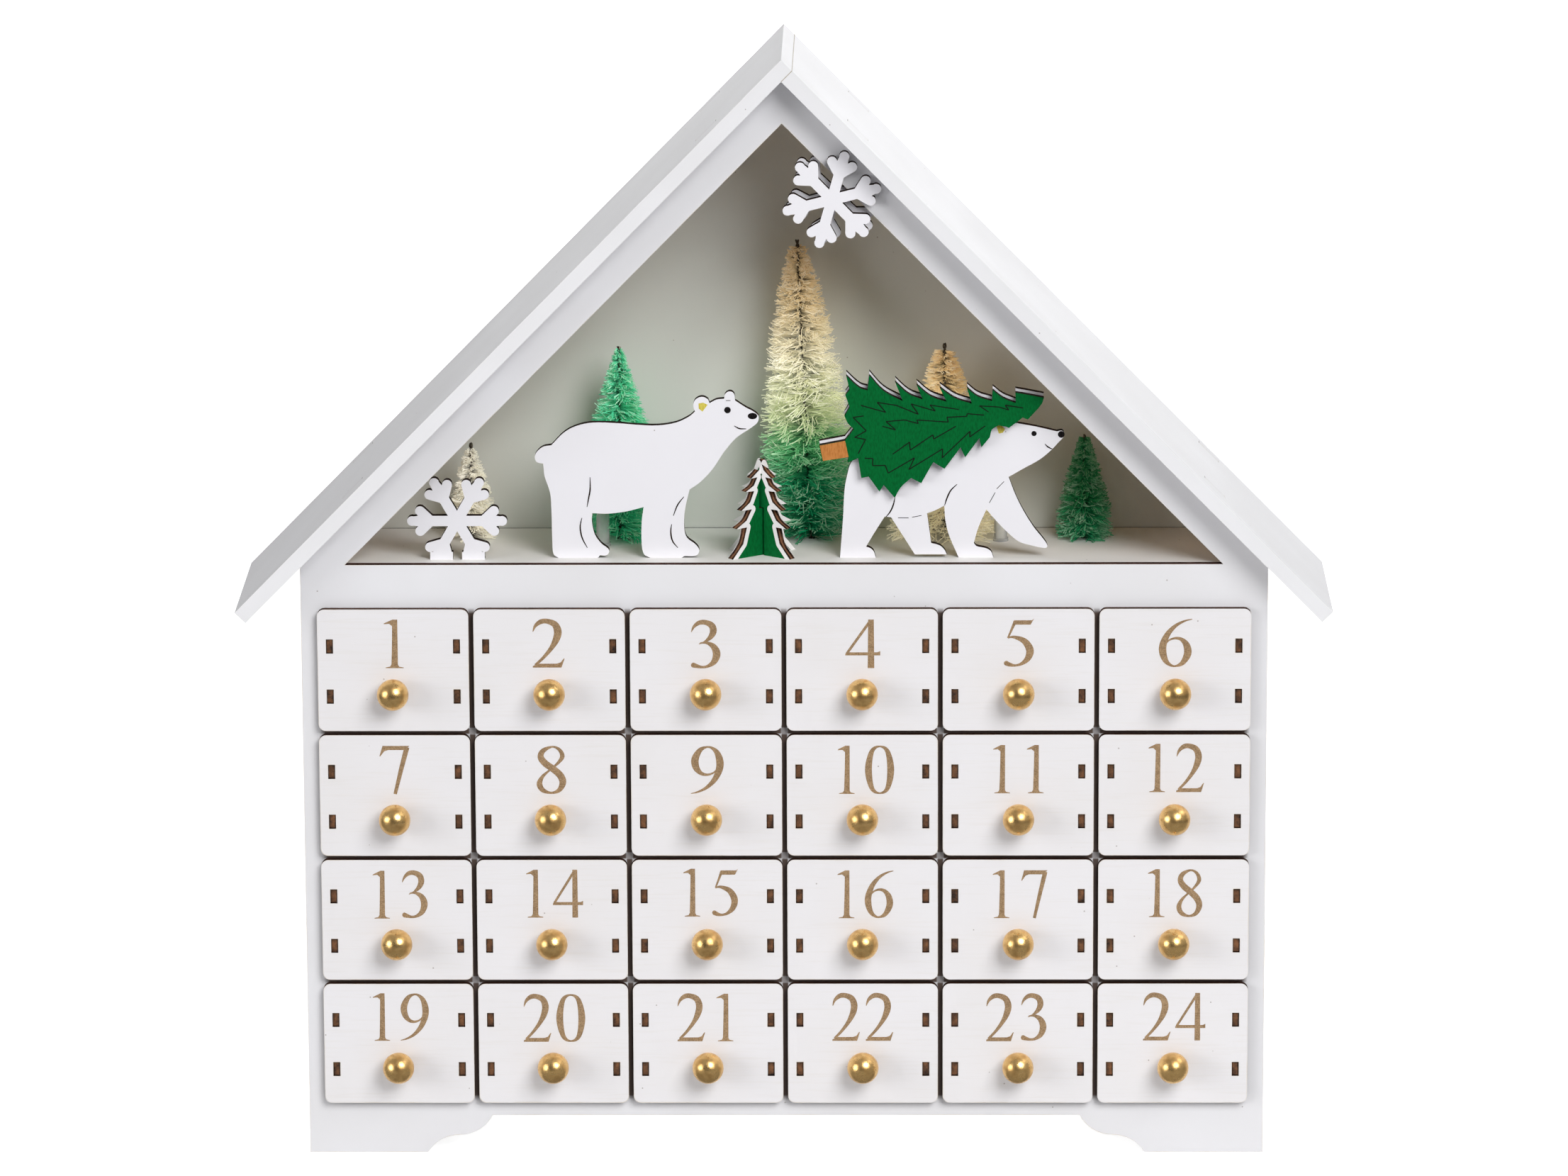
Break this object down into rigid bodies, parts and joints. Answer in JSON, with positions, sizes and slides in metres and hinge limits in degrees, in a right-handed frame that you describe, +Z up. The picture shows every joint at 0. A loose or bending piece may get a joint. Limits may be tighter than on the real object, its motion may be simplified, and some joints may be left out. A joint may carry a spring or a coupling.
{
  "type": "wooden advent calendar",
  "caption": "House-shaped wooden advent calendar with numbered sliding drawers under a lit winter scene in a gable window.",
  "frame": {"origin": "middle of the bounding box's bottom face, on the surface that the feet rest on", "axes": "+Z up, +X to the right as seen from the front, +Y away from the front, so the drawers open along -Y"},
  "size_m": [0.3596, 0.0878, 0.3707],
  "materials": {
    "painted_panel": "white painted plywood with faint grain and burnt brown edges",
    "painted_drawer": "white painted plywood front with burnt edges, bare plywood box, satin gold knob",
    "painted_figure": "white painted plywood with burnt brown edges",
    "green_figure": "green painted plywood with burnt brown edges",
    "mint_bristle": "dyed fibre bristles on twisted wire",
    "ombre_bristle": "fibre bristles dyed from cream to deep green, on twisted wire",
    "tan_bristle": "dyed fibre bristles on twisted wire",
    "green_bristle": "dyed fibre bristles on twisted wire",
    "cream_bristle": "dyed fibre bristles on twisted wire",
    "clear_light": "clear moulded epoxy",
    "lead_wire": "thin insulated wire",
    "box_plastic": "white moulded plastic",
    "foam": "grey foam tape",
    "contact_metal": "nickel-plated steel",
    "cell_sleeve": "plain dark sleeve with a bare metal nub",
    "switch_plastic": "black moulded plastic"
  },
  "bodies": {
    "house": {"front_panel": "painted_panel", "back_panel": "painted_panel", "side_wall_left": "painted_panel", "side_wall_right": "painted_panel", "bottom_panel": "painted_panel", "shelf_1": "painted_panel", "shelf_2": "painted_panel", "shelf_3": "painted_panel", "dividers": "painted_panel", "cell_ceiling": "painted_panel", "scene_floor": "painted_panel", "roof_left": "painted_panel", "roof_right": "painted_panel", "standing_bear": "painted_figure", "walking_bear": "painted_figure", "carried_tree": "green_figure", "standing_snowflake": "painted_figure", "hanging_snowflake_front": "painted_figure", "hanging_snowflake_rear": "painted_figure", "slotted_tree_a": "green_figure", "slotted_tree_b": "green_figure", "brush_tree_mint": "mint_bristle", "brush_tree_ombre": "ombre_bristle", "brush_tree_tan": "tan_bristle", "brush_tree_green": "green_bristle", "brush_tree_cream": "cream_bristle", "lights": "clear_light", "light_leads": "lead_wire", "battery_box": "box_plastic", "foam_pad": "foam", "battery_contacts": "contact_metal", "batteries": "cell_sleeve"},
    "drawer_01": {"drawer_01": "painted_drawer"},
    "drawer_02": {"drawer_02": "painted_drawer"},
    "drawer_03": {"drawer_03": "painted_drawer"},
    "drawer_04": {"drawer_04": "painted_drawer"},
    "drawer_05": {"drawer_05": "painted_drawer"},
    "drawer_06": {"drawer_06": "painted_drawer"},
    "drawer_07": {"drawer_07": "painted_drawer"},
    "drawer_08": {"drawer_08": "painted_drawer"},
    "drawer_09": {"drawer_09": "painted_drawer"},
    "drawer_10": {"drawer_10": "painted_drawer"},
    "drawer_11": {"drawer_11": "painted_drawer"},
    "drawer_12": {"drawer_12": "painted_drawer"},
    "drawer_13": {"drawer_13": "painted_drawer"},
    "drawer_14": {"drawer_14": "painted_drawer"},
    "drawer_15": {"drawer_15": "painted_drawer"},
    "drawer_16": {"drawer_16": "painted_drawer"},
    "drawer_17": {"drawer_17": "painted_drawer"},
    "drawer_18": {"drawer_18": "painted_drawer"},
    "drawer_19": {"drawer_19": "painted_drawer"},
    "drawer_20": {"drawer_20": "painted_drawer"},
    "drawer_21": {"drawer_21": "painted_drawer"},
    "drawer_22": {"drawer_22": "painted_drawer"},
    "drawer_23": {"drawer_23": "painted_drawer"},
    "drawer_24": {"drawer_24": "painted_drawer"},
    "battery_door": {"battery_door": "box_plastic"},
    "switch_slider": {"switch_slider": "switch_plastic"}
  },
  "joints": [
    {"name": "drawer_01_slide", "type": "slide", "parent": "house", "child": "drawer_01", "axis": [0, -1, 0], "range_m": [0, 0.045]},
    {"name": "drawer_02_slide", "type": "slide", "parent": "house", "child": "drawer_02", "axis": [0, -1, 0], "range_m": [0, 0.045]},
    {"name": "drawer_03_slide", "type": "slide", "parent": "house", "child": "drawer_03", "axis": [0, -1, 0], "range_m": [0, 0.045]},
    {"name": "drawer_04_slide", "type": "slide", "parent": "house", "child": "drawer_04", "axis": [0, -1, 0], "range_m": [0, 0.045]},
    {"name": "drawer_05_slide", "type": "slide", "parent": "house", "child": "drawer_05", "axis": [0, -1, 0], "range_m": [0, 0.045]},
    {"name": "drawer_06_slide", "type": "slide", "parent": "house", "child": "drawer_06", "axis": [0, -1, 0], "range_m": [0, 0.045]},
    {"name": "drawer_07_slide", "type": "slide", "parent": "house", "child": "drawer_07", "axis": [0, -1, 0], "range_m": [0, 0.045]},
    {"name": "drawer_08_slide", "type": "slide", "parent": "house", "child": "drawer_08", "axis": [0, -1, 0], "range_m": [0, 0.045]},
    {"name": "drawer_09_slide", "type": "slide", "parent": "house", "child": "drawer_09", "axis": [0, -1, 0], "range_m": [0, 0.045]},
    {"name": "drawer_10_slide", "type": "slide", "parent": "house", "child": "drawer_10", "axis": [0, -1, 0], "range_m": [0, 0.045]},
    {"name": "drawer_11_slide", "type": "slide", "parent": "house", "child": "drawer_11", "axis": [0, -1, 0], "range_m": [0, 0.045]},
    {"name": "drawer_12_slide", "type": "slide", "parent": "house", "child": "drawer_12", "axis": [0, -1, 0], "range_m": [0, 0.045]},
    {"name": "drawer_13_slide", "type": "slide", "parent": "house", "child": "drawer_13", "axis": [0, -1, 0], "range_m": [0, 0.045]},
    {"name": "drawer_14_slide", "type": "slide", "parent": "house", "child": "drawer_14", "axis": [0, -1, 0], "range_m": [0, 0.045]},
    {"name": "drawer_15_slide", "type": "slide", "parent": "house", "child": "drawer_15", "axis": [0, -1, 0], "range_m": [0, 0.045]},
    {"name": "drawer_16_slide", "type": "slide", "parent": "house", "child": "drawer_16", "axis": [0, -1, 0], "range_m": [0, 0.045]},
    {"name": "drawer_17_slide", "type": "slide", "parent": "house", "child": "drawer_17", "axis": [0, -1, 0], "range_m": [0, 0.045]},
    {"name": "drawer_18_slide", "type": "slide", "parent": "house", "child": "drawer_18", "axis": [0, -1, 0], "range_m": [0, 0.045]},
    {"name": "drawer_19_slide", "type": "slide", "parent": "house", "child": "drawer_19", "axis": [0, -1, 0], "range_m": [0, 0.045]},
    {"name": "drawer_20_slide", "type": "slide", "parent": "house", "child": "drawer_20", "axis": [0, -1, 0], "range_m": [0, 0.045]},
    {"name": "drawer_21_slide", "type": "slide", "parent": "house", "child": "drawer_21", "axis": [0, -1, 0], "range_m": [0, 0.045]},
    {"name": "drawer_22_slide", "type": "slide", "parent": "house", "child": "drawer_22", "axis": [0, -1, 0], "range_m": [0, 0.045]},
    {"name": "drawer_23_slide", "type": "slide", "parent": "house", "child": "drawer_23", "axis": [0, -1, 0], "range_m": [0, 0.045]},
    {"name": "drawer_24_slide", "type": "slide", "parent": "house", "child": "drawer_24", "axis": [0, -1, 0], "range_m": [0, 0.045]},
    {"name": "battery_door_slide", "type": "slide", "parent": "house", "child": "battery_door", "axis": [-1, 0, 0], "range_m": [0, 0.04]},
    {"name": "switch_slide", "type": "slide", "parent": "house", "child": "switch_slider", "axis": [1, 0, 0], "range_m": [0, 0.0035]}
  ]
}
